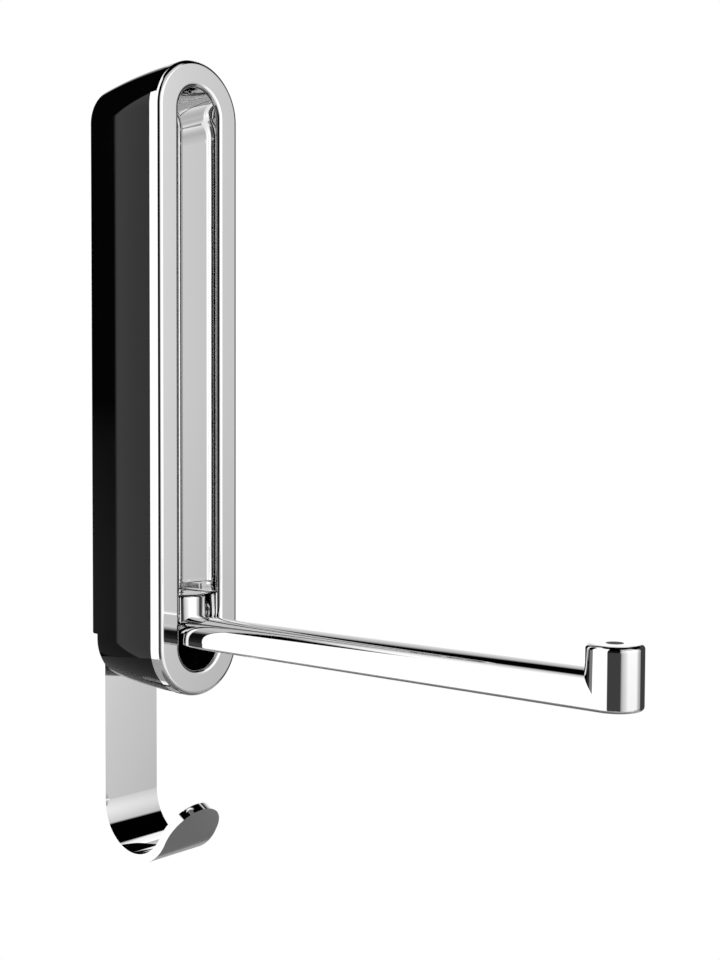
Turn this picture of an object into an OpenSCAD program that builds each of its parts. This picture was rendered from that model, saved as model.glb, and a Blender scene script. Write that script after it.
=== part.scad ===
// Wall mounted clothes valet: a gloss black case with a bright bezel, an arm that
// folds up flush into the bezel's slot, and a fixed coat hook below.
// Millimetres. The wall is the plane y = 0, the front faces -y, +z is up, and the
// origin is on the wall behind the middle of the case.

/* [Case] */
// Width of the bezel and of the case behind it
case_w = 40; // [36:0.5:48]
// Height of the bezel and of the case behind it
case_h = 242; // [220:1:280]
// Depth from the wall to the face of the bezel
case_d = 45; // [44:0.5:56]
// Wall thickness of the black shell
shell_wall = 2; // [1.6:0.1:2.2]
// How far the shell stands in from the bezel's edge at the front
shell_step = 0.25; // [0.1:0.05:0.6]
// How far the crowned side draws in between the bezel and the wall
side_crown = 2.95; // [1:0.05:3.2]
// Rounding of the shell's edge against the wall
rear_round = 1; // [0.5:0.1:1.5]

/* [Bezel] */
// Thickness of the bezel
bezel_t = 5.4; // [5:0.1:7]
// Rounding of the bezel's outer front edge
bezel_round = 1.9; // [0.8:0.1:2.2]
// Rounding of the slot's front edge
slot_round = 1.9; // [0.8:0.1:2.2]
// Width of the bezel's ring, from its outer edge to the slot
ring_w = 10.1; // [9.6:0.05:10.6]

/* [Recess] */
// Height of the recess floor over the wall
floor_level = 19.25; // [18:0.05:20.5]
// Height of the hinge well's floor over the wall
well_level = 11.65; // [11:0.05:12.5]
// Sheet thickness of the recess liner and of the hinge well
liner_t = 1; // [0.8:0.1:1.2]
// Inside rounding between the liner's walls and floor
liner_round = 4; // [2:0.1:5]
// How far the liner's walls stand back from the slot's edge
liner_set = 0.35; // [0.1:0.05:0.5]
// Width of the lip that the bezel clamps
lip_w = 1.85; // [1.5:0.05:2.2]

/* [Arm] */
// Gap between the folded arm and the slot, all round
arm_gap = 1.1; // [0.9:0.05:1.5]
// Height of the arm's bar
arm_h = 11.4; // [10.4:0.1:12.5]
// Height of the knob and of the hub
knob_h = 19.4; // [18.5:0.1:20]
// Rounding of the knob's and the hub's top edge
knob_round = 1.6; // [0.8:0.1:2]
// Rounding of the arm's lower edges
arm_edge = 1.2; // [0.5:0.1:1.5]
// Depth of the pivot behind the bezel's face, and its height over the arm's flat side
pivot_set = 11.45; // [11:0.05:12]
// Clearance between the swinging heel and the hinge well's floor
swing_gap = 0.9; // [0.6:0.1:1.5]
// How far the hub reaches forward of the pivot, to the middle of its round front
hub_fore = 1.25; // [0.8:0.05:2]
// Extra radius of the rounded heel over the tail's own, which the slot's end must clear
heel_extra = 1.1; // [0.8:0.05:1.2]

/* [Pivot] */
// Diameter of the pivot pin
pin_d = 5; // [4:0.1:5.4]
// Wall of the bush that carries the pin
bush_wall = 1; // [0.8:0.1:1.2]
// Diameter of the bush's flange
bush_flange_d = 9; // [8.6:0.1:10]
// Running clearance of the pin in its bushes, on the radius
run_clear = 0.03; // [0.02:0.01:0.06]
// Thickness of each friction washer
washer_t = 1; // [0.6:0.1:1]
// Diameter of the friction washers and of the pin's head
washer_d = 7.6; // [7.2:0.1:8]
// Wire or sheet thickness of the wave washer and of the clip
clip_t = 0.8; // [0.6:0.1:0.9]

/* [Chassis] */
// Sheet thickness of the steel chassis
chassis_t = 1.5; // [1.2:0.1:1.6]
// Side clearance between the liner and the chassis
chassis_clear = 0.3; // [0.2:0.05:0.4]
// Diameter of the stop block's screws
stop_screw_d = 3; // [2.5:0.1:3.5]
// Thickness of the stop pad
pad_t = 1.5; // [1:0.1:2]
// Height of the stop block
stop_h = 10; // [8:0.5:12]

/* [Hook] */
// Width of the hook strip
hook_w = 26.5; // [22:0.5:28]
// Thickness of the hook strip
hook_t = 3.5; // [2.5:0.1:3.8]
// Inside radius of the hook
hook_r = 17.6; // [14:0.2:22]
// Height of the hook's bend centre under the middle of the case
hook_drop = 167; // [155:1:190]
// Angle of the tongue past the lowest point of the bend
tongue_angle = 60; // [45:1:75]
// Straight run of the tongue before its rounded end
tongue_run = 1; // [0.5:0.5:8]

/* [Fixings] */
// Distance between the two wall screw holes
wall_pitch = 120; // [100:1:130]
// Diameter of the wall screw holes
wall_hole_d = 4.6; // [4:0.1:5.2]
// Width across the countersink of a wall screw hole
wall_sink_d = 9; // [8.4:0.1:9.4]
// Shank diameter of the studs that the case hangs on
stud_d = 5; // [4:0.1:5.6]
// Head diameter of the studs
stud_head_d = 9; // [8:0.1:9.4]
// Diameter of the locking screw under the case
lock_d = 4; // [3:0.1:4.4]
// Diameter of the bezel's screws
bezel_screw_d = 2.5; // [2:0.1:2.8]
// Diameter of the rubber plug in the knob
plug_d = 5.2; // [4:0.1:6]

/* [Hidden] */
$fn = 96;
eps = 0.01;
fit = 0.05;

// Depths are measured from the wall; the front is at case_d.
bezel_r = case_w / 2;
track = case_h / 2 - bezel_r;
bezel_back = case_d - bezel_t;
slot_r = case_w / 2 - ring_w;
slot_mouth_r = slot_r + slot_round;

// Shell
shell_r = bezel_r - shell_step;
shell_run = bezel_back;
crown_r = (shell_run * shell_run + side_crown * side_crown) / (2 * side_crown);
flange_t = 2;
flange_back = bezel_back - flange_t;
notch_d = hook_t + 0.5;
notch_top = track - 1.7;
notch_round = 1.5;

// Liner and well
floor_back = floor_level - liner_t;
liner_in = slot_r + liner_set;
liner_r = liner_in + liner_t;
lip_r = liner_r + lip_w;
lip_t = 1;
lip_clear = 0.2;
floor_gap = 0.15;
floor_half = slot_r - arm_gap + 0.4;
well_r = slot_r + 1.2;

// Arm, drawn folded down, with the pivot at (pivot_y, pivot_z)
arm_r = slot_r - arm_gap;
heel_r = arm_r + heel_extra;
pivot_depth = case_d - pivot_set;
pivot_z = pivot_depth - heel_r - swing_gap - well_level - track;
arm_under = pivot_z - pivot_set;
knob_top = arm_under + knob_h;
knob_out = track - pivot_z;
tail_mid = track + pivot_z;

// Chassis
cheek_in = liner_r + chassis_clear;
cheek_out = cheek_in + chassis_t;
web_back = hook_t;
web_front = hook_t + chassis_t;
cheek_low = pivot_z - bush_flange_d / 2 - 1.6;
cheek_top = track - 3;
well_top = cheek_low - 1;
nose_low = cheek_low;
nose_top = pivot_z + bush_flange_d / 2 + 1;
nose_front = bezel_back - 0.2;
strip_top = cheek_top;

// Screw places
screw_x = cheek_out + 2.25;
screw_levels = [track - 9, 10, -track + 29];
screw_head_r = bezel_screw_d * 0.86;
tab_h = 8;
tab_out = screw_x + 1.9;
screw_grip = 3.8;

// Hanging studs and locking screw
stud_levels = [cheek_top - 18, pivot_z + 2];
stud_r = stud_d / 2;
stud_head_r = stud_head_d / 2;
head_gap = 0.1;
stud_head_t = 2;
keyhole_drop = 8;
lip_low = -case_h / 2 + 13;
lip_front = well_level - liner_t - 0.6;
lock_r = lock_d / 2;
lock_depth = web_front + 0.4 + lock_r;
lock_top = stud_levels[1] - stud_head_r - fit;
lock_low = -case_h / 2 + 3.2;

// Stop and plug; the toe under the block meets the hub's top when the arm is folded
stop_low = knob_top + fit + pad_t;
stop_front = floor_back - 0.3;
stop_depths = [web_front + 3, stop_front - 3.2];
floor_low = stop_low + floor_gap;
stop_grip = cheek_in - 5.6;
toe_half = arm_r * 0.42;
toe_back = stop_front - 2.2;
toe_front = pivot_depth - (knob_h - pivot_set) - fit;
pad_half = arm_r - 1.3;
pad_back = pivot_depth - tail_mid - arm_r + 0.3;
pad_front = toe_back - 0.1;
peg_r = 0.7;
plug_proud = 0.05;
plug_t = 3;
window_r = 6;
window_half = 12;
window_depth = (web_front + flange_back) / 2 - 0.3;
window_levels = [track - 51, -track + 71];
rib_levels = [-track + 55, -track + 79, track - 59, track - 35];

// Pin
pin_r = pin_d / 2;
bush_r = pin_r + bush_wall;
washer_r = washer_d / 2;
washer_out = cheek_out + washer_t;
head_t = 1.5;
wave_out = washer_out + clip_t;
clip_out = wave_out + clip_t;
groove_r = pin_r - 0.5;
pin_end = clip_out + 0.6;
grub_r = 1.5;
grub_l = knob_h - pivot_set - pin_r - 0.85;

// A flat outline in x and z, pushed from one depth to another
module from_wall(back, front) {
  translate([0, -back, 0]) rotate([90, 0, 0]) linear_extrude(front - back) children();
}

// A bar along x at a given depth and height
module cross_bar(r, x0, x1, depth, z) {
  translate([x0, -depth, z]) rotate([0, 90, 0]) cylinder(r = r, h = x1 - x0);
}

// A box given by its limits, with depths from the wall
module block(x, depth, z) {
  translate([x[0], -depth[1], z[0]]) cube([x[1] - x[0], depth[1] - depth[0], z[1] - z[0]]);
}

module obround(r, half = track) {
  for (end = [-1, 1]) translate([0, end * half]) circle(r);
  square([2 * r, 2 * half], center = true);
}

// A half profile of width against depth, run round the case's track
module obround_solid(half = track) {
  for (end = [-1, 1]) translate([0, 0, end * half]) rotate([90, 0, 0]) rotate_extrude() children();
  translate([0, 0, -half]) mirror([0, 1, 0]) linear_extrude(2 * half) {
    children();
    mirror([1, 0]) children();
  }
}

// A half profile whose front corner is rounded
module round_front(r, back, front, round) {
  translate([0, back]) square([r, front - round - back]);
  translate([0, back]) square([r - round, front - back]);
  translate([r - round, front - round]) circle(round);
}

// A half profile whose rear corner is rounded
module round_back(r, back, front, round) {
  translate([0, back + round]) square([r, front - back - round]);
  translate([0, back]) square([r - round, front - back]);
  translate([r - round, back + round]) circle(round);
}

// The crowned side: an arc that leaves the bezel square and draws in towards the wall
module crowned_profile(inset, back) {
  intersection() {
    translate([0, back]) square([shell_r, bezel_back - back]);
    translate([shell_r - crown_r, bezel_back]) circle(crown_r - inset, $fn = 720);
  }
}

module shell_profile() {
  edge_centre = shell_r - crown_r + sqrt(pow(crown_r - rear_round, 2) - pow(shell_run - rear_round, 2));
  tangent = bezel_back - (shell_run - rear_round) * crown_r / (crown_r - rear_round);
  crowned_profile(0, tangent);
  square([edge_centre, tangent + eps]);
  translate([edge_centre, rear_round]) circle(rear_round);
}

// The step at the foot of the shell that lets the hook strip lie on the wall
module strip_notch() {
  low = -case_h / 2 - 1;
  step = -notch_top;
  difference() {
    translate([-case_w, 0, 0]) rotate([90, 0, 90]) linear_extrude(2 * case_w) {
      translate([-notch_d, low]) square([notch_d + 1, step - low]);
      translate([-notch_round, step - eps]) square([notch_round + 1, notch_round]);
    }
    cross_bar(notch_round, -case_w, case_w, notch_round, step + notch_round - eps);
  }
}

module bezel_screw_holes(r, back, front) {
  for (side = [-1, 1], z = screw_levels)
    translate([side * screw_x, -back, z]) rotate([90, 0, 0]) cylinder(r = r, h = front - back);
}

module wall_screw_holes(back, front) {
  for (end = [-1, 1])
    translate([0, -back, end * wall_pitch / 2]) rotate([90, 0, 0])
      cylinder(d = wall_hole_d, h = front - back);
}

module shell_ribs() {
  rib_t = 1.2;
  for (side = [-1, 1], z = rib_levels)
    intersection() {
      block(side > 0 ? [cheek_out + 0.15, shell_r] : [-shell_r, -cheek_out - 0.15],
            [web_front + 4, flange_back + eps], [z, z + rib_t]);
      obround_solid() crowned_profile(shell_wall / 2, web_front);
    }
}

module housing_shell() {
  color("#101012") {
    difference() {
      obround_solid() shell_profile();
      difference() {
        translate([0, 1, 0]) obround_solid() crowned_profile(shell_wall, 0);
        from_wall(flange_back, bezel_back + 2) obround(case_w);
      }
      translate([0, 1, 0]) obround_solid() intersection() {
        crowned_profile(shell_wall, 0);
        square([shell_r, 2]);
      }
      from_wall(flange_back - 1, bezel_back + 1) obround(liner_r + lip_clear);
      from_wall(bezel_back - lip_t, bezel_back + 1) obround(lip_r + lip_clear);
      intersection() {
        from_wall(flange_back - 1, bezel_back + 1) obround(well_r + liner_t + lip_clear);
        block([-case_w, case_w], [0, case_d], [-case_h, well_top + lip_clear]);
      }
      block([-lip_r - lip_clear, lip_r + lip_clear], [flange_back - 1, bezel_back + 1],
            [nose_low - 0.5, nose_top + 0.5]);
      bezel_screw_holes(bezel_screw_d / 2 + 0.15, flange_back - 1, bezel_back + 1);
      lock_bore(lock_r + 0.3, -case_h, -track);
      strip_notch();
    }
    shell_ribs();
  }
}

module bezel_ring() {
  color("#d9dbde") difference() {
    obround_solid() round_front(bezel_r, bezel_back, case_d, bezel_round);
    from_wall(bezel_back - 1, case_d + 1) obround(slot_r);
    obround_solid() difference() {
      translate([0, case_d - slot_round]) square([slot_mouth_r, slot_round + 1]);
      translate([slot_mouth_r, case_d - slot_round]) circle(slot_round);
    }
    bezel_screw_holes(bezel_screw_d / 2, bezel_back - 1, bezel_back + screw_grip + 0.4);
  }
}

module recess_liner() {
  color("#cfd2d6") difference() {
    union() {
      obround_solid() round_back(liner_r, floor_back, bezel_back, liner_round + liner_t);
      from_wall(bezel_back - lip_t, bezel_back) obround(lip_r);
    }
    obround_solid() round_back(liner_in, floor_level, bezel_back + 1, liner_round);
    block([-floor_half, floor_half], [floor_back - 1, bezel_back + 1], [cheek_low - 2, floor_low]);
    block([-case_w, case_w], [0, case_d], [-case_h, cheek_low - 0.5]);
    for (x = [[liner_r, case_w], [-case_w, -liner_r]])
      block(x, [floor_back, case_d], [-case_h, nose_top + 0.5]);
    cross_bar(bush_flange_d / 2 + 0.3, -case_w, case_w, pivot_depth, pivot_z);
  }
}

module hinge_well() {
  color("#0b0b0c") intersection() {
    difference() {
      union() {
        from_wall(well_level - liner_t, bezel_back) obround(well_r + liner_t);
        from_wall(bezel_back - lip_t, bezel_back) obround(lip_r);
      }
      from_wall(well_level, bezel_back + 1) obround(well_r);
    }
    block([-case_w, case_w], [0, case_d], [-case_h, well_top]);
  }
}

module cheek_window(z) {
  for (end = [-1, 1]) cross_bar(window_r, -case_w, case_w, window_depth, z + end * window_half);
  block([-case_w, case_w], [window_depth - window_r, window_depth + window_r],
        [z - window_half, z + window_half]);
}

module chassis() {
  color("#8d9298") difference() {
    union() {
      block([-cheek_out, cheek_out], [web_back, web_front], [lip_low, cheek_top]);
      block([-lock_d * 1.7, lock_d * 1.7], [web_back, lip_front], [lip_low, lip_low + chassis_t]);
      for (side = [-1, 1]) {
        block(side > 0 ? [cheek_in, cheek_out] : [-cheek_out, -cheek_in],
              [web_back, flange_back], [cheek_low, cheek_top]);
        block(side > 0 ? [cheek_in, cheek_out] : [-cheek_out, -cheek_in],
              [flange_back - 8, nose_front], [nose_low, nose_top]);
        for (z = screw_levels)
          block(side > 0 ? [cheek_in, tab_out] : [-tab_out, -cheek_in],
                [flange_back - chassis_t, flange_back], [z - tab_h / 2, z + tab_h / 2]);
      }
    }
    for (z = window_levels) cheek_window(z);
    bezel_screw_holes(bezel_screw_d / 2 + 0.15, flange_back - chassis_t - 1, flange_back + 1);
    for (z = stud_levels) keyhole(z);
    lock_bore(lock_r, lip_low - 1, lip_low + chassis_t + 1);
    cross_bar(bush_r, -case_w, case_w, pivot_depth, pivot_z);
    for (depth = stop_depths) cross_bar(stop_screw_d / 2, -case_w, case_w, depth, stop_low + stop_h / 2);
  }
}

// Round opening that the stud's head passes, with a slot above it for the shank
module keyhole(z) {
  low = z - keyhole_drop;
  from_wall(0, web_front + 1) {
    translate([0, low]) circle(stud_head_r + 0.5);
    translate([0, z]) circle(stud_r + fit);
    translate([-stud_r - fit, low]) square([stud_d + 2 * fit, keyhole_drop]);
  }
}

module lock_bore(r, low, high) {
  translate([0, -lock_depth, low]) cylinder(r = r, h = high - low);
}

module hanging_studs() {
  color("#a5a9ad") for (z = stud_levels) translate([0, 0, z]) rotate([90, 0, 0]) {
    cylinder(r = stud_r, h = web_front + head_gap);
    translate([0, 0, web_front + head_gap]) cylinder(r = stud_head_r, h = stud_head_t);
  }
}

module lock_screw() {
  color("#3a3c40") difference() {
    lock_bore(lock_r, lock_low, lock_top);
    translate([0, -lock_depth, lock_low - 1]) cylinder(r = lock_r * 0.58, h = 3.5, $fn = 6);
  }
}

// Strip, bend and tongue in one bent flat bar; the tongue's end is all but a half circle
module hook_strip() {
  centre = hook_t + hook_r;
  reach = centre + 5;
  tip_r = hook_w / 2;
  tip_ease = 0.05;
  root = 0.6;
  thin = 0.02;
  color("#c9ccd0") difference() {
    mirror([0, 1, 0]) translate([-hook_w / 2, 0, 0]) rotate([90, 0, 90]) linear_extrude(hook_w) {
      translate([0, -hook_drop]) square([hook_t, strip_top + hook_drop]);
      translate([centre, -hook_drop]) {
        difference() {
          circle(centre);
          circle(hook_r);
          translate([-reach, 0]) square([2 * reach, reach]);
          rotate(tongue_angle) translate([0, -reach]) square(reach);
        }
        rotate(tongue_angle) translate([-root, thin - centre])
          square([root + tongue_run + tip_r, hook_t - 2 * thin]);
      }
    }
    translate([0, -centre, -hook_drop]) rotate([-tongue_angle, 0, 0]) translate([0, -tongue_run, -reach])
      linear_extrude(reach) mirror([0, 1]) difference() {
        translate([-hook_w, 0]) square([2 * hook_w, reach]);
        translate([0, -tip_ease]) circle(tip_r + tip_ease);
      }
    wall_screw_holes(-1, hook_t + 1);
    for (end = [-1, 1]) translate([0, -hook_t, end * wall_pitch / 2]) rotate([-90, 0, 0])
      cylinder(r1 = wall_sink_d / 2, r2 = 0, h = wall_sink_d / 2);
    for (z = stud_levels)
      translate([0, 1, z]) rotate([90, 0, 0]) cylinder(r = stud_r, h = hook_t + 2);
  }
}

module bezel_screws() {
  tab_back = flange_back - chassis_t;
  color("#3a3c40") difference() {
    union() {
      bezel_screw_holes(bezel_screw_d / 2, tab_back, bezel_back + screw_grip);
      bezel_screw_holes(screw_head_r, tab_back - 1.7, tab_back);
    }
    for (side = [-1, 1], z = screw_levels)
      translate([side * screw_x, -tab_back + 2.7, z]) rotate([90, 0, 0]) cylinder(r = 1.15, h = 2, $fn = 6);
  }
}

module stop_block() {
  color("#70757b") difference() {
    union() {
      block([-cheek_in, cheek_in], [web_front, stop_front], [stop_low, stop_low + stop_h]);
      block([-toe_half, toe_half], [toe_back, toe_front], [stop_low - pad_t, stop_low + eps]);
    }
    for (depth = stop_depths, x = [[stop_grip - 0.4, cheek_in + 1], [-cheek_in - 1, 0.4 - stop_grip]])
      cross_bar(stop_screw_d / 2, x[0], x[1], depth, stop_low + stop_h / 2);
    pad_pegs(stop_low - 1, stop_low + 2.5);
  }
}

module stop_screws() {
  color("#3a3c40") for (depth = stop_depths) {
    for (x = [[stop_grip, cheek_out], [-cheek_out, -stop_grip]])
      cross_bar(stop_screw_d / 2, x[0], x[1], depth, stop_low + stop_h / 2);
    for (x = [[cheek_out, cheek_out + 1.6], [-cheek_out - 1.6, -cheek_out]])
      cross_bar(stop_screw_d * 0.9, x[0], x[1], depth, stop_low + stop_h / 2);
  }
}

module pad_pegs(low, high) {
  for (side = [-1, 1])
    translate([side * pad_half / 2, -(pad_back + pad_front) / 2, low]) cylinder(r = peg_r, h = high - low);
}

module stop_pad() {
  color("#2c2d2f") {
    block([-pad_half, pad_half], [pad_back, pad_front], [stop_low - pad_t, stop_low]);
    pad_pegs(stop_low - eps, stop_low + 2);
  }
}

// Flanged bush: the flange fills the gap beside the hub, the barrel sits in the cheek
module bush() {
  difference() {
    union() {
      cross_bar(bush_flange_d / 2, arm_r + 0.1, cheek_in, pivot_depth, pivot_z);
      cross_bar(bush_r, cheek_in - eps, cheek_out, pivot_depth, pivot_z);
    }
    cross_bar(pin_r + run_clear, 0, case_w, pivot_depth, pivot_z);
  }
}

module right_bush() {
  color("#b9bcc0") bush();
}

module left_bush() {
  color("#b9bcc0") mirror([1, 0, 0]) bush();
}

module friction_washer() {
  difference() {
    cross_bar(washer_r, cheek_out, washer_out, pivot_depth, pivot_z);
    cross_bar(pin_r + run_clear, 0, case_w, pivot_depth, pivot_z);
  }
}

module right_friction_washer() {
  color("#e6e2d6") friction_washer();
}

module left_friction_washer() {
  color("#e6e2d6") mirror([1, 0, 0]) friction_washer();
}

// A post of the arm's width with a rounded top edge and a smaller rounding below,
// run between two depths in front of or behind the pivot
module arm_post(fore, aft) {
  for (reach = [fore, aft])
    translate([0, -reach, 0]) rotate_extrude() post_profile();
  translate([0, -aft, 0]) rotate([90, 0, 0]) linear_extrude(fore - aft) {
    post_profile();
    mirror([1, 0]) post_profile();
  }
}

module post_profile() {
  top = knob_h - pivot_set;
  low = -pivot_set;
  translate([0, low + arm_edge]) square([arm_r, knob_h - arm_edge - knob_round]);
  translate([0, low + arm_edge]) square([arm_r - knob_round, knob_h - arm_edge]);
  translate([0, low]) square([arm_r - arm_edge, knob_h / 2]);
  translate([arm_r - arm_edge, low + arm_edge]) circle(arm_edge);
  translate([arm_r - knob_round, top - knob_round]) circle(knob_round);
}

module bar_section() {
  low = -pivot_set;
  crest = low + arm_h - arm_r;
  intersection() {
    translate([0, crest]) circle(arm_r);
    translate([-arm_r, crest]) square([2 * arm_r, arm_r + 1]);
  }
  translate([-arm_r, low + arm_edge]) square([2 * arm_r, arm_h - arm_r - arm_edge]);
  translate([-arm_r + arm_edge, low]) square([2 * (arm_r - arm_edge), arm_h - arm_r]);
  for (side = [-1, 1]) translate([side * (arm_r - arm_edge), low + arm_edge]) circle(arm_edge);
}

// The hub and tail, trimmed to a wheel about the pivot so that the heel swings past the slot's end
module hub() {
  intersection() {
    arm_post(hub_fore, -tail_mid);
    rotate([0, 90, 0]) rotate_extrude() {
      translate([0, -heel_r]) square([tail_mid, 2 * heel_r]);
      translate([tail_mid, 0]) intersection() {
        circle(heel_r);
        translate([0, -heel_r]) square([heel_r, 2 * heel_r]);
      }
    }
  }
}

module at_pivot() {
  translate([0, -pivot_depth, pivot_z]) children();
}

module folding_arm() {
  color("#dcdee1") at_pivot() difference() {
    union() {
      hub();
      translate([0, -knob_out, 0]) rotate_extrude() post_profile();
      rotate([90, 0, 0]) linear_extrude(knob_out) bar_section();
    }
    rotate([0, 90, 0]) translate([0, 0, -case_w]) cylinder(r = pin_r, h = 2 * case_w);
    cylinder(r = grub_r, h = case_w);
    translate([0, -knob_out, knob_h - pivot_set - plug_t]) cylinder(d = plug_d, h = case_w);
  }
}

module knob_plug() {
  color("#6a6c6e") at_pivot() translate([0, -knob_out, knob_h - pivot_set - plug_t])
    cylinder(d = plug_d, h = plug_t + plug_proud);
}

module pivot_pin() {
  color("#9a9da2") difference() {
    union() {
      cross_bar(pin_r, -washer_out, pin_end, pivot_depth, pivot_z);
      cross_bar(washer_r, -washer_out - head_t, -washer_out, pivot_depth, pivot_z);
    }
    difference() {
      cross_bar(pin_r + 1, wave_out, clip_out, pivot_depth, pivot_z);
      cross_bar(groove_r, wave_out - 1, clip_out + 1, pivot_depth, pivot_z);
    }
  }
}

module pin_set_screw() {
  color("#3a3c40") at_pivot() difference() {
    translate([0, 0, pin_r]) cylinder(r = grub_r, h = grub_l);
    translate([0, 0, pin_r + grub_l - 1.6]) cylinder(r = grub_r * 0.57, h = 3, $fn = 6);
  }
}

module wave_washer() {
  color("#a8abb0") difference() {
    cross_bar(washer_r - 0.4, washer_out, wave_out, pivot_depth, pivot_z);
    cross_bar(pin_r, 0, case_w, pivot_depth, pivot_z);
  }
}

// Open ring that snaps into the pin's groove
module retaining_clip() {
  color("#4a4d52") difference() {
    cross_bar(washer_r - 0.3, wave_out, clip_out, pivot_depth, pivot_z);
    cross_bar(groove_r, 0, case_w, pivot_depth, pivot_z);
    block([0, case_w], [pivot_depth - groove_r * 0.8, pivot_depth + groove_r * 0.8],
          [pivot_z - washer_r - 1, pivot_z]);
  }
}

housing_shell();
bezel_ring();
recess_liner();
hinge_well();
chassis();
hook_strip();
hanging_studs();
lock_screw();
bezel_screws();
stop_block();
stop_screws();
stop_pad();
left_bush();
right_bush();
left_friction_washer();
right_friction_washer();
folding_arm();
knob_plug();
pivot_pin();
pin_set_screw();
wave_washer();
retaining_clip();
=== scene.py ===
import bpy
import math
from mathutils import Matrix, Vector


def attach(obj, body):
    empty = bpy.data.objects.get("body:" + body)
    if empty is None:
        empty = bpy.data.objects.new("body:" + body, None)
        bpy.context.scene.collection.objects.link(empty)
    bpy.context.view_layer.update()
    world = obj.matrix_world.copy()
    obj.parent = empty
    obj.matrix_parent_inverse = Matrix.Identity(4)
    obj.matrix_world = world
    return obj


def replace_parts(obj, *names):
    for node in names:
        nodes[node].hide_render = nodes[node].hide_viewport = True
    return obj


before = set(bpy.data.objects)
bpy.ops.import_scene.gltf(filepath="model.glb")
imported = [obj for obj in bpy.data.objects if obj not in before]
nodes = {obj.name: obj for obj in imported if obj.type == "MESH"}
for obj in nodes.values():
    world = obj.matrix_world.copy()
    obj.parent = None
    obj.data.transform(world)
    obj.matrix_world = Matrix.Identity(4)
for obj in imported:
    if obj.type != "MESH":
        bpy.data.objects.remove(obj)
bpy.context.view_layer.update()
print("frame loaded")


def gray(level):
    return (level, level, level, 1.0)


def tinted(colour, gain=1.0):
    return (*[min(c * gain, 1.0) for c in colour], 1.0)


# Shader sockets with arithmetic: an expression adds the Math nodes it needs
class Wire:
    def __init__(self, tree, socket):
        self.tree = tree
        self.socket = socket

    def math(self, operation, *values):
        return self.tree.add("ShaderNodeMath", {"operation": operation}, dict(enumerate(values)))

    def __add__(self, other):
        return self.math("ADD", self, other)

    def __radd__(self, other):
        return self.math("ADD", other, self)

    def __sub__(self, other):
        return self.math("SUBTRACT", self, other)

    def __rsub__(self, other):
        return self.math("SUBTRACT", other, self)

    def __mul__(self, other):
        return self.math("MULTIPLY", self, other)

    def __rmul__(self, other):
        return self.math("MULTIPLY", other, self)

    def __truediv__(self, other):
        return self.math("DIVIDE", self, other)

    def __rtruediv__(self, other):
        return self.math("DIVIDE", other, self)

    def ease(self, low, high):
        return self.tree.add("ShaderNodeMapRange", {"interpolation_type": "SMOOTHSTEP"},
                             {"Value": self, "From Min": low, "From Max": high})


# One node tree, whose nodes all come from add()
class Tree:
    def __init__(self, owner):
        owner.use_nodes = True
        self.nodes = owner.node_tree.nodes
        self.links = owner.node_tree.links
        self.nodes.clear()

    def add(self, kind, settings=None, values=None, output=0):
        node = self.nodes.new(kind)
        for name, value in (settings or {}).items():
            if name == "stops":
                ramp = node.color_ramp.elements
                while len(ramp) < len(value):
                    ramp.new(1.0)
                for stop, (place, level) in zip(ramp, value):
                    stop.position = place
                    stop.color = gray(level)
            else:
                setattr(node, name, value)
        for name, value in (values or {}).items():
            if isinstance(value, Wire):
                self.links.new(value.socket, node.inputs[name])
            else:
                node.inputs[name].default_value = value
        return Wire(self, node.outputs[output]) if node.outputs else None

    # Sockets 6, 7 and output 2 are the Mix node's colours
    def mix(self, amount, low, high):
        return self.add("ShaderNodeMix", {"data_type": "RGBA"}, {0: amount, 6: low, 7: high}, output=2)

    def mixShaders(self, amount, low, high):
        return self.add("ShaderNodeMixShader", None, {0: amount, 1: low, 2: high})

    def place(self, scale=(1.0, 1.0, 1.0)):
        spot = self.add("ShaderNodeTexCoord", output="Object")
        return self.add("ShaderNodeVectorMath", {"operation": "MULTIPLY"}, {0: spot, 1: scale})

    def split(self, vector):
        first = self.add("ShaderNodeSeparateXYZ", None, {0: vector})
        return [Wire(self, socket) for socket in first.socket.node.outputs]

    def noise(self, vector, scale, detail, roughness):
        return self.add("ShaderNodeTexNoise", None, {"Vector": vector, "Scale": scale, "Detail": detail,
                                                     "Roughness": roughness})

    def bump(self, height):
        return self.add("ShaderNodeBump", None, {"Strength": 1.0, "Distance": 1.0, "Height": height})

    def principled(self, values):
        return self.add("ShaderNodeBsdfPrincipled", None, values)

    def seenByCamera(self):
        return self.add("ShaderNodeLightPath", output="Is Camera Ray")

    def close(self, shader, kind="ShaderNodeOutputMaterial"):
        self.add(kind, None, {"Surface": shader})


# Polished plate: faint waviness of the polish, soft wipe marks and a few hairlines. A range gives where a
# mark starts to show and where it is full; level is how bright the metal is, haze its least roughness.
polish = dict(
    finishes={
        "bezel": dict(level=0.95, haze=0.014, wave=0.00003, lines=0.008),
        "arm": dict(level=0.95, haze=0.014, wave=0.00003, lines=0.008),
        "hook": dict(level=0.94, haze=0.020, wave=0.00004, lines=0.010),
        "liner": dict(level=0.97, haze=0.004, wave=0.000004, lines=0.003),
    },
    smudge=dict(scale=60.0, detail=3.0, roughness=0.55), smudgeRange=(0.42, 0.72), smudgeShare=0.8,
    swirl=dict(scale=9.0, detail=1.0, roughness=0.4), swirlShade=0.975,
    hair=dict(scale=1.0, detail=1.0, roughness=0.5), hairStretch=(900.0, 40.0, 900.0), hairRange=(0.70, 0.76),
    ripple=dict(scale=34.0, detail=2.0, roughness=0.5),
)


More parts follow.
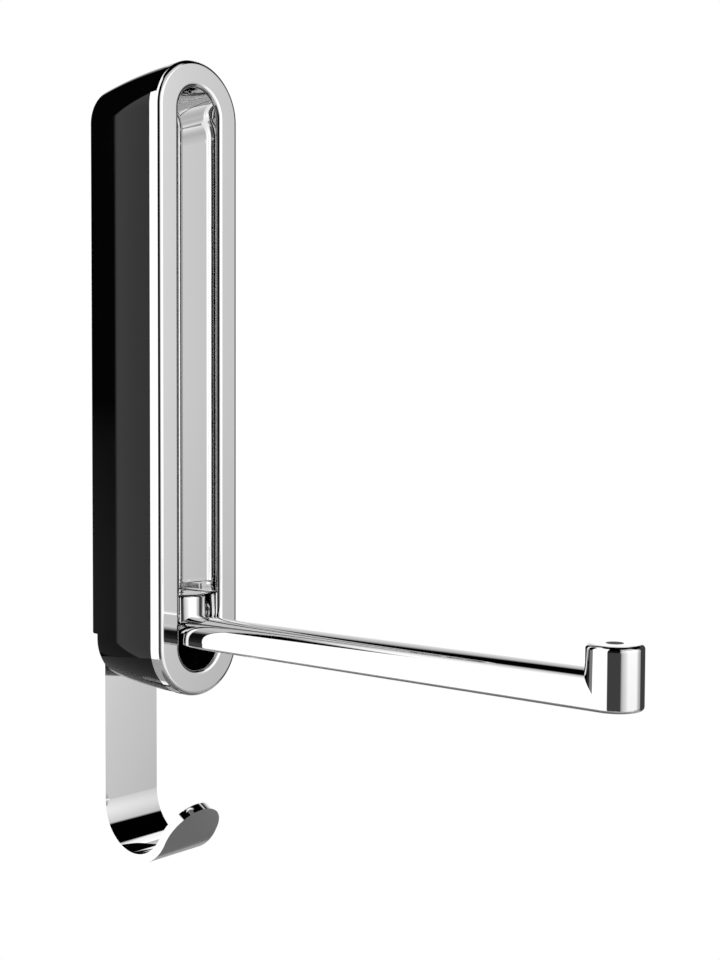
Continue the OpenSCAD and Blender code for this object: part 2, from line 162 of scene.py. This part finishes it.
def polishedPlate(name, level, haze, wave, lines):
    stuff = bpy.data.materials.new(name)
    tree = Tree(stuff)
    spot = tree.place()
    smudge = tree.noise(spot, **polish["smudge"]).ease(*polish["smudgeRange"])
    swirl = tree.noise(spot, **polish["swirl"])
    hair = tree.noise(tree.place(polish["hairStretch"]), **polish["hair"]).ease(*polish["hairRange"])
    tree.close(tree.principled({
        "Base Color": tree.mix(swirl, gray(level * polish["swirlShade"]), gray(level)),
        "Metallic": 1.0,
        "Roughness": smudge * (haze * polish["smudgeShare"]) + hair * lines + haze,
        "Normal": tree.bump(tree.noise(spot, **polish["ripple"]) * wave)}))
    return stuff


# Moulded gloss black: deep colour, faint orange peel and a little dust. In front of the seam's depth a dull
# near-black band is painted on the shell: painted shade for the thin gap where it meets the bezel.
shellGloss = dict(
    colour=(0.0020, 0.0020, 0.0024), roughness=0.03, index=1.30,
    peel=dict(scale=260.0, detail=2.0, roughness=0.5), peelDepth=0.000001,
    dust=dict(scale=22.0, detail=3.0, roughness=0.6), dustRange=(0.45, 0.75), dustGain=1.5, dustHaze=0.02,
    # The seam values place and colour the band of painted shade where the shell meets the bezel
    seam=-0.03935, seamBlend=0.00005, seamShadeLevel=0.0008, seamIndex=1.02,
)


def glossMoulding(name, colour, roughness, index, peel, peelDepth, dust, dustRange, dustGain, dustHaze,
                  seam, seamBlend, seamShadeLevel, seamIndex):
    stuff = bpy.data.materials.new(name)
    tree = Tree(stuff)
    spot = tree.place()
    dusty = tree.noise(spot, **dust).ease(*dustRange)
    gloss = tree.principled({
        "Base Color": tree.mix(dusty, tinted(colour), tinted(colour, dustGain)),
        "Roughness": dusty * dustHaze + roughness,
        "IOR": index,
        "Normal": tree.bump(tree.noise(spot, **peel) * peelDepth)})
    # Painted shade: a dull near-black band for the gap between shell and bezel
    seamShade = tree.principled({"Base Color": gray(seamShadeLevel), "Roughness": 1.0, "IOR": seamIndex})
    # front is 1 in that band of painted shade, in front of the seam's depth
    front = 1.0 - tree.split(spot)[1].ease(seam - seamBlend, seam + seamBlend)
    tree.close(tree.mixShaders(front, gloss, seamShade))
    return stuff


# Grained finishes: mouldings, rubber, castings, nylon, sheet metal and the lips' pale satin, which is painted
# reflection, share one recipe, a fine speck in the surface and a wide cloud that shifts its colour and
# roughness
grainLook = dict(
    finishes={
        "well": dict(colour=(0.006, 0.006, 0.0065), metal=0.0, roughness=0.5, grain=900.0, depth=0.00002),
        "rubber": dict(colour=(0.105, 0.107, 0.108), metal=0.0, roughness=0.62, grain=1400.0, depth=0.00003),
        "pad": dict(colour=(0.02, 0.02, 0.02), metal=0.0, roughness=0.7, grain=900.0, depth=0.00003),
        "sheet": dict(colour=(0.55, 0.56, 0.57), metal=1.0, roughness=0.32, grain=300.0, depth=0.00001),
        "nylon": dict(colour=(0.72, 0.70, 0.63), metal=0.0, roughness=0.45, grain=800.0, depth=0.00001),
        "satin": dict(colour=(0.86, 0.86, 0.87), metal=0.0, roughness=0.35, grain=600.0, depth=0.000005),
        "oxide": dict(colour=(0.025, 0.025, 0.028), metal=0.6, roughness=0.4, grain=1200.0, depth=0.00002),
        "ground": dict(colour=(0.60, 0.61, 0.62), metal=1.0, roughness=0.22, grain=600.0, depth=0.00001),
    },
    speck=dict(detail=3.0, roughness=0.6), cloud=dict(detail=2.0, roughness=0.5), cloudScale=0.06,
    dark=0.85, light=1.12, smooth=0.85, spread=0.3,
)


def grainedSurface(name, colour, metal, roughness, grain, depth):
    stuff = bpy.data.materials.new(name)
    tree = Tree(stuff)
    spot = tree.place()
    speck = tree.noise(spot, grain, **grainLook["speck"])
    cloud = tree.noise(spot, grain * grainLook["cloudScale"], **grainLook["cloud"])
    tree.close(tree.principled({
        "Base Color": tree.mix(cloud, tinted(colour, grainLook["dark"]), tinted(colour, grainLook["light"])),
        "Metallic": metal,
        "Roughness": cloud * (roughness * grainLook["spread"]) + roughness * grainLook["smooth"],
        "Normal": tree.bump(speck * depth)}))
    return stuff


plates = {name: polishedPlate("polished_" + name, **look) for name, look in polish["finishes"].items()}
grained = {name: grainedSurface("surface_" + name, **look) for name, look in grainLook["finishes"].items()}
shellSkin = glossMoulding("gloss_shell", **shellGloss)

nodeFinish = {
    "housing_shell": shellSkin,
    "bezel_ring": plates["bezel"], "recess_liner": plates["liner"], "hook_strip": plates["hook"],
    "folding_arm": plates["arm"], "stop_block": plates["liner"],
    "hinge_well": grained["well"], "chassis": grained["sheet"], "hanging_studs": grained["sheet"],
    "lock_screw": grained["oxide"], "bezel_screws": grained["oxide"], "stop_screws": grained["oxide"],
    "stop_pad": grained["pad"], "left_bush": grained["ground"], "right_bush": grained["ground"],
    "left_friction_washer": grained["nylon"], "right_friction_washer": grained["nylon"],
    "knob_plug": grained["rubber"], "pivot_pin": grained["ground"], "pin_set_screw": grained["oxide"],
    "wave_washer": grained["ground"], "retaining_clip": grained["oxide"],
}
for name, node in nodes.items():
    node.data.materials.clear()
    node.data.materials.append(nodeFinish[name])
print("materials set on", len(nodes), "nodes")


# The pieces below are worked out in millimetres: across, out from the wall and up
def scenePoint(across, depth, height):
    return (across / 1000, -depth / 1000, height / 1000)


def evenly(low, high, steps):
    return [low + (high - low) * k / steps for k in range(steps + 1)]


# The normals, where they are given, are exact, so that reflections run clean over the faces
def meshObject(name, places, faces, stuff, normals=None):
    mesh = bpy.data.meshes.new(name)
    mesh.from_pydata(places, [], faces)
    if normals:
        mesh.shade_smooth()
        mesh.normals_split_custom_set_from_vertices(normals)
    mesh.materials.append(stuff)
    made = bpy.data.objects.new(name, mesh)
    bpy.context.scene.collection.objects.link(made)
    return made


# Even net round the case, for the shell, the recess and the bezel. A station is a place on the case's track
# (height of the middle, turn from the right) with its profile. A profile point is distance from the track,
# depth from the wall and the surface's direction in that plane; two points in one place make a sharp edge.
def netPiece(name, strips, stuff, closed=False):
    places, normals, faces = [], [], []
    for strip in strips:
        first = len(places)
        profile = strip[0][2]
        size = len(profile)
        for middle, turn, line in strip:
            across, up = math.cos(turn), math.sin(turn)
            for reach, depth, (outward, forward) in line:
                places.append(scenePoint(reach * across, depth, middle + reach * up))
                normals.append((outward * across, -forward, outward * up))
        for column in range(len(strip) if closed else len(strip) - 1):
            for row in range(size - 1):
                if profile[row][:2] != profile[row + 1][:2]:
                    a = column * size + row
                    b = (a + size) % (size * len(strip))
                    faces.append((first + a, first + a + 1, first + b + 1, first + b))
    piece = meshObject(name, places, faces, stuff, normals)
    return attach(piece, "case")


# Shell: crowned sides, rounded ends, a small rounding at the wall and a notch at the foot. lift is how far
# the net stands proud, rearStop the last tilt of the rounding at the wall, in degrees.
shellForm = dict(half=19.75, track=101.0, run=39.6, crown=2.95, rearRound=1.0, rearStop=75.0, lift=0.03,
                 notchDepth=4.0, notchTop=-99.3, notchRound=1.5,
                 sideSteps=48, rearSteps=8, notchSteps=12, upSteps=12, endSteps=120)


def shellSkinPiece(half, track, run, crown, rearRound, rearStop, lift, notchDepth, notchTop, notchRound,
                   sideSteps, rearSteps, notchSteps, upSteps, endSteps):
    radius = (run * run + crown * crown) / (2 * crown)
    lean = math.asin((run - rearRound) / (radius - rearRound))
    centre = half - radius + (radius - rearRound) * math.cos(lean)
    tangent = run - radius * math.sin(lean)

    def arcPoint(tilt, middle, depth, bend):
        return (middle + (bend + lift) * math.cos(tilt), depth - (bend + lift) * math.sin(tilt),
                (math.cos(tilt), -math.sin(tilt)))

    # Profile of the side, from the bezel back to where it stops
    def side(stop):
        if stop > tangent:
            tilts = evenly(0.0, math.asin((run - stop) / radius), sideSteps)
            return [arcPoint(tilt, half - radius, run, radius) for tilt in tilts]
        last = lean
        if stop < rearRound:
            last = max(lean, min(math.radians(rearStop), math.asin(1.0 - max(stop, 0.0) / rearRound)))
        line = [arcPoint(tilt, half - radius, run, radius)
                for tilt in evenly(0.0, lean, sideSteps - rearSteps)]
        line += [arcPoint(tilt, centre, rearRound, rearRound) for tilt in evenly(lean, last, rearSteps)[1:]]
        return line

    def corner(height):
        drop = notchTop + notchRound - height
        return notchRound - math.sqrt(max(0.0, notchRound ** 2 - drop ** 2)) if drop > 0 else 0.0

    turns = evenly(0.0, math.pi, endSteps)
    heights = [notchTop + notchRound * (1 - math.cos(a)) for a in evenly(0.0, math.pi / 2, notchSteps)]
    heights += evenly(notchTop + notchRound, track, upSteps)[1:]
    upper = [(z, 0.0, side(corner(z))) for z in heights]
    upper += [(track, turn, side(0.0)) for turn in turns]
    upper += [(z, math.pi, side(corner(z))) for z in reversed(heights)]
    lower = [(notchTop, math.pi, side(notchDepth))]
    lower += [(-track, math.pi + turn, side(notchDepth)) for turn in turns]
    lower += [(notchTop, 2 * math.pi, side(notchDepth))]
    netPiece("shell_skin", [upper, lower], shellSkin)


shellSkinPiece(**shellForm)

# Recess above the hinge: side walls, rounded corner, floor and round upper end
recessForm = dict(half=10.25, track=101.0, front=39.6, floor=19.25, bend=4.0, low=-80.2, lift=0.02,
                  wallSteps=12, bendSteps=20, floorSteps=4, upSteps=10, endSteps=96)


def recessSkinPiece(half, track, front, floor, bend, low, lift,
                    wallSteps, bendSteps, floorSteps, upSteps, endSteps):
    line = [(half - lift, depth, (-1.0, 0.0)) for depth in evenly(front, floor + bend, wallSteps)]
    for tilt in evenly(0.0, math.pi / 2, bendSteps)[1:]:
        line.append((half - bend + (bend - lift) * math.cos(tilt),
                     floor + bend - (bend - lift) * math.sin(tilt), (-math.cos(tilt), math.sin(tilt))))
    line += [(reach, floor + lift, (0.0, 1.0)) for reach in evenly(half - bend, 0.0, floorSteps)[1:]]
    line.reverse()
    strip = [(z, 0.0, line) for z in evenly(low, track, upSteps)]
    strip += [(track, turn, line) for turn in evenly(0.0, math.pi, endSteps)[1:]]
    strip += [(z, math.pi, line) for z in evenly(track, low, upSteps)[1:]]
    netPiece("recess_skin", [strip], plates["liner"])


recessSkinPiece(**recessForm)

# Bezel, the same ring as the solid's, with edges rounded towards the front
bezelForm = dict(half=20.0, slot=9.9, track=101.0, back=39.6, front=45.0, edge=1.9,
                 wallSteps=4, edgeSteps=16, faceSteps=6, upSteps=8, endSteps=128)


def bezelPiece(half, slot, track, back, front, edge, wallSteps, edgeSteps, faceSteps, upSteps, endSteps):
    def rounded(middle, start, stop):
        return [(middle + edge * math.cos(a), front - edge + edge * math.sin(a), (math.cos(a), math.sin(a)))
                for a in evenly(start, stop, edgeSteps)]

    line = [(slot, depth, (-1.0, 0.0)) for depth in evenly(back, front - edge, wallSteps)[:-1]]
    line += rounded(slot + edge, math.pi, math.pi / 2)
    line += [(reach, front, (0.0, 1.0)) for reach in evenly(slot + edge, half - edge, faceSteps)[1:-1]]
    line += rounded(half - edge, math.pi / 2, 0.0)
    line += [(half, depth, (1.0, 0.0)) for depth in evenly(front - edge, back, wallSteps)[1:]]
    line += [(half, back, (0.0, -1.0)), (slot, back, (0.0, -1.0))]
    turns = evenly(0.0, math.pi, endSteps)
    strip = [(z, 0.0, line) for z in evenly(-track, track, upSteps)[:-1]]
    strip += [(track, turn, line) for turn in turns]
    strip += [(z, math.pi, line) for z in evenly(track, -track, upSteps)[1:-1]]
    strip += [(-track, math.pi + turn, line) for turn in turns[:-1]]
    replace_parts(netPiece("bezel", [strip], plates["bezel"], closed=True), "bezel_ring")


bezelPiece(**bezelForm)

# Outer face of the hook's tongue and the bend before it, one even surface. middle is the bend's radius, run
# the straight between bend and tip; tipEase widens the tip's arc, so that it leaves the sides softly.
tongueForm = dict(half=13.25, middle=21.1, drop=167.0, bendStart=22.0, bendEnd=60.0, run=1.0, tipEase=0.05,
                  lift=0.008, bendSteps=24, tipSteps=40, acrossSteps=24)


def tongueSkin(half, middle, drop, bendStart, bendEnd, run, tipEase, lift, bendSteps, tipSteps, acrossSteps):
    lean = math.radians(bendEnd)
    radius = middle + lift
    tip = half + tipEase
    columns = [(middle + radius * math.sin(a), -drop - radius * math.cos(a), a, half)
               for a in evenly(math.radians(bendStart), lean, bendSteps)]
    for k in evenly(0.0, 1.0, tipSteps)[1:]:
        along = run - tipEase + tip * math.sin(k * math.pi / 2)
        columns.append((middle + radius * math.sin(lean) + along * math.cos(lean),
                        -drop - radius * math.cos(lean) + along * math.sin(lean), lean,
                        min(half, tip * math.cos(k * math.pi / 2))))
    places, normals, faces = [], [], []
    for depth, height, tilt, across in columns:
        for share in evenly(-1.0, 1.0, acrossSteps):
            places.append(scenePoint(share * across, depth, height))
            normals.append((0.0, -math.sin(tilt), -math.cos(tilt)))
    size = acrossSteps + 1
    for column in range(len(columns) - 1):
        for row in range(acrossSteps):
            a = column * size + row
            faces.append((a, a + 1, a + size + 1, a + size))
    skin = meshObject("tongue_skin", places, faces, plates["hook"], normals)
    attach(skin, "case")


tongueSkin(**tongueForm)

# Two pale satin lips that carry the recess floor down beside the stop's toe, clear of the hub; their pale
# colour is painted reflection, standing in for the light the chrome would mirror there. Each has a flat part
# and a longer one at the recess wall, as (inner edge, outer edge, lower edge)
lipForm = dict(parts=[(3.72, 8.95, -81.9), (8.95, 10.2, -84.5)], high=-80.2, back=18.4, front=19.23)
boxFaces = [(0, 1, 3, 2), (4, 6, 7, 5), (0, 4, 5, 1), (2, 3, 7, 6), (0, 2, 6, 4), (1, 5, 7, 3)]


def floorLip(name, side, parts, high, back, front):
    places, faces = [], []
    for inner, outer, low in parts:
        first = len(places)
        places += [scenePoint(side * x, depth, z) for x in (inner, outer) for depth in (back, front)
                   for z in (low, high)]
        for face in boxFaces:
            turned = face if side < 0 else face[::-1]
            faces.append(tuple(first + corner for corner in turned))
    # Painted reflection: the lips' pale matte colour stands in for the light the chrome floor would mirror
    # there
    lip = meshObject(name, places, faces, grained["satin"])
    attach(lip, "case")


floorLip("floor_lip_right", 1, **lipForm)
floorLip("floor_lip_left", -1, **lipForm)
print("bezel, skins of shell, recess and tongue, and floor lips made")


# Studio: cards and flags far away. Each is a pair of level curves, multiplied together: one round the
# horizon (0 is straight into the wall, 90 to the right) and one up from it, in degrees. ambience is the
# level between the cards.
studio = dict(ambience=0.0005, cards={
    "leftCard": dict(
        around=[(-93, 0.0), (-90, 1.12), (-29.6, 1.12), (-28.8, 0.0)],
        rise=[(-62, 0.0), (-56, 1.0), (60, 1.0), (64, 0.0)]),
    "highCard": dict(
        around=[(-29.6, 0.0), (-28.8, 1.12), (-20, 1.05), (-12, 0.82), (-6, 0.67), (0, 0.51), (4, 0.3),
                (8, 0.0)],
        rise=[(44, 0.0), (47, 1.0), (62, 1.0), (66, 0.0)]),
    "lowLeft": dict(
        around=[(-29.6, 0.0), (-28.8, 0.20), (-14, 0.20), (-8, 0.0)],
        rise=[(-30, 0.0), (-25, 1.0), (-7, 1.0), (-3, 0.7), (0, 0.4), (2, 0.0)]),
    "sweep": dict(
        around=[(26, 0.0), (31, 1.0), (68, 1.0), (74, 0.0)],
        rise=[(-16, 0.0), (-13, 1.12), (8, 1.05), (22, 0.74), (31, 0.62), (38, 0.50), (42, 0.35), (46, 0.0)]),
    "roofCard": dict(
        around=[(50, 0.0), (54, 1.0), (76, 1.0), (79, 0.0)],
        rise=[(38, 0.0), (42, 1.0), (50, 1.0), (54, 0.0)]),
    "rightFlag": dict(
        around=[(73, 0.0), (75, 0.05), (122, 0.05), (126, 0.0)],
        rise=[(-60, 0.0), (-56, 1.0), (28, 1.0), (32, 0.0)]),
    "rightCard": dict(
        around=[(125, 0.0), (128, 0.45), (136.9, 0.607), (139.6, 0.692), (142.1, 0.785), (146, 1.0),
                (150, 1.2), (188, 1.2), (197, 0.92), (208, 0.72), (214, 0.5), (219, 0.0)],
        rise=[(-42, 0.0), (-38, 0.72), (-15, 0.75), (-10.8, 0.82), (-7.7, 0.89), (-4.6, 0.938), (0, 0.966),
              (4.5, 1.0), (13, 1.02), (30, 1.02), (33, 0.0)]),
    "frontCard": dict(
        around=[(140, 0.0), (146, 0.60), (209, 0.60), (214, 0.0)],
        rise=[(30, 0.0), (33, 1.0), (56, 1.0), (60, 0.0)]),
    "cameraSide": dict(
        around=[(214, 0.0), (220, 0.05), (264, 0.05), (269, 0.0)],
        rise=[(-62, 0.0), (-58, 1.0), (-8, 1.0), (-4, 0.4), (0, 0.2), (9, 0.1), (28, 0.1), (32, 0.0)]),
})


# An angle that runs round in a full turn is wrapped about the middle of the curve
def levelCurve(tree, angle, stops, fullTurn=0.0):
    first, last = stops[0][0], stops[-1][0]
    if fullTurn:
        slack = (fullTurn - last + first) / 2
        angle = angle.math("WRAP", angle, last + slack, first - slack)
    ramp = [((place - first) / (last - first), level) for place, level in stops]
    return tree.add("ShaderNodeValToRGB", {"stops": ramp}, {"Fac": (angle - first) / (last - first)})


def studioWorld(ambience, cards):
    world = bpy.data.worlds.new("studio")
    bpy.context.scene.world = world
    tree = Tree(world)
    across, ahead, up = tree.split(tree.add("ShaderNodeTexCoord", output="Generated"))
    perRadian = math.degrees(1.0)
    angle = across.math("ARCTAN2", across, ahead) * perRadian
    height = up.math("ARCSINE", up) * perRadian
    total = ambience
    for card in cards.values():
        spread = levelCurve(tree, angle, card["around"], fullTurn=360.0)
        total = total + spread * levelCurve(tree, height, card["rise"])
    level = tree.mix(tree.seenByCamera(), total, gray(1.0))
    back = tree.add("ShaderNodeBackground", None, {"Color": level, "Strength": 1.0})
    tree.close(back, "ShaderNodeOutputWorld")


studioWorld(**studio)

# Floor, in metres: white to the camera, and under the object a grey for the metal to mirror; reach is the
# distance from the origin over which it grows paler
floorLook = dict(height=-0.62, half=0.95, near=0.385, far=0.95, reach=(0.725, 0.83), roughness=0.9,
                 cloud=dict(scale=3.0, detail=2.0, roughness=0.5), cloudShade=0.97)


def paleFloor(height, half, near, far, reach, roughness, cloud, cloudShade):
    stuff = bpy.data.materials.new("pale_floor")
    tree = Tree(stuff)
    spot = tree.place()
    away = tree.add("ShaderNodeVectorMath", {"operation": "LENGTH"}, {0: spot}, output="Value").ease(*reach)
    clouded = tree.mix(tree.noise(spot, **cloud), gray(near * cloudShade), gray(near))
    pale = tree.principled({"Base Color": tree.mix(away, clouded, gray(far)), "Roughness": roughness})
    white = tree.add("ShaderNodeEmission", None, {"Color": gray(1.0), "Strength": 1.0})
    tree.close(tree.mixShaders(tree.seenByCamera(), pale, white))
    corners = [(-half, -half, height), (half, -half, height), (half, half, height), (-half, half, height)]
    floor = meshObject("floor", corners, [(0, 1, 2, 3)], stuff)


paleFloor(**floorLook)

softBox = dict(place=(-0.5, -0.9, 1.3), size=0.9, power=2.0)


def overheadLight(place, size, power):
    lamp = bpy.data.lights.new("soft_box", "AREA")
    lamp.size = size
    lamp.energy = power
    holder = bpy.data.objects.new("soft_box", lamp)
    bpy.context.scene.collection.objects.link(holder)
    holder.location = place
    holder.rotation_euler = (-Vector(place)).to_track_quat("-Z", "Y").to_euler()
    holder.visible_glossy = False


overheadLight(**softBox)

# Camera from the photograph: place in millimetres, angles in degrees, focal length and rise in pixels of its
# frame, frameHeight pixels high, which stands for a film of filmHeight millimetres; nearClip in metres
view = dict(place=(-326.81, -407.15, -25.49), yaw=49.295, dip=2.263, roll=0.232, focal=1262.16, rise=18.45,
            frameHeight=960.0, filmHeight=36.0, nearClip=0.01)


def setCamera(place, yaw, dip, roll, focal, rise, frameHeight, filmHeight, nearClip):
    yaw, dip, roll = (math.radians(a) for a in (yaw, dip, roll))
    ahead = Vector((math.sin(yaw) * math.cos(dip), math.cos(yaw) * math.cos(dip), -math.sin(dip)))
    right = Vector((math.cos(yaw), -math.sin(yaw), 0))
    up = right.cross(ahead)
    rightRolled = right * math.cos(roll) + up * math.sin(roll)
    upRolled = up * math.cos(roll) - right * math.sin(roll)
    data = bpy.data.cameras.new("photo_view")
    data.sensor_fit = "VERTICAL"
    data.sensor_height = filmHeight
    data.lens = filmHeight * focal / frameHeight
    data.shift_y = rise / frameHeight
    data.clip_start = nearClip
    camera = bpy.data.objects.new("photo_view", data)
    bpy.context.scene.collection.objects.link(camera)
    turned = Matrix((rightRolled, upRolled, -ahead)).transposed().to_4x4()
    camera.matrix_world = Matrix.Translation(Vector(place) / 1000) @ turned
    bpy.context.scene.camera = camera


setCamera(**view)
bpy.context.scene.view_settings.view_transform = "Standard"
print("studio and camera set")
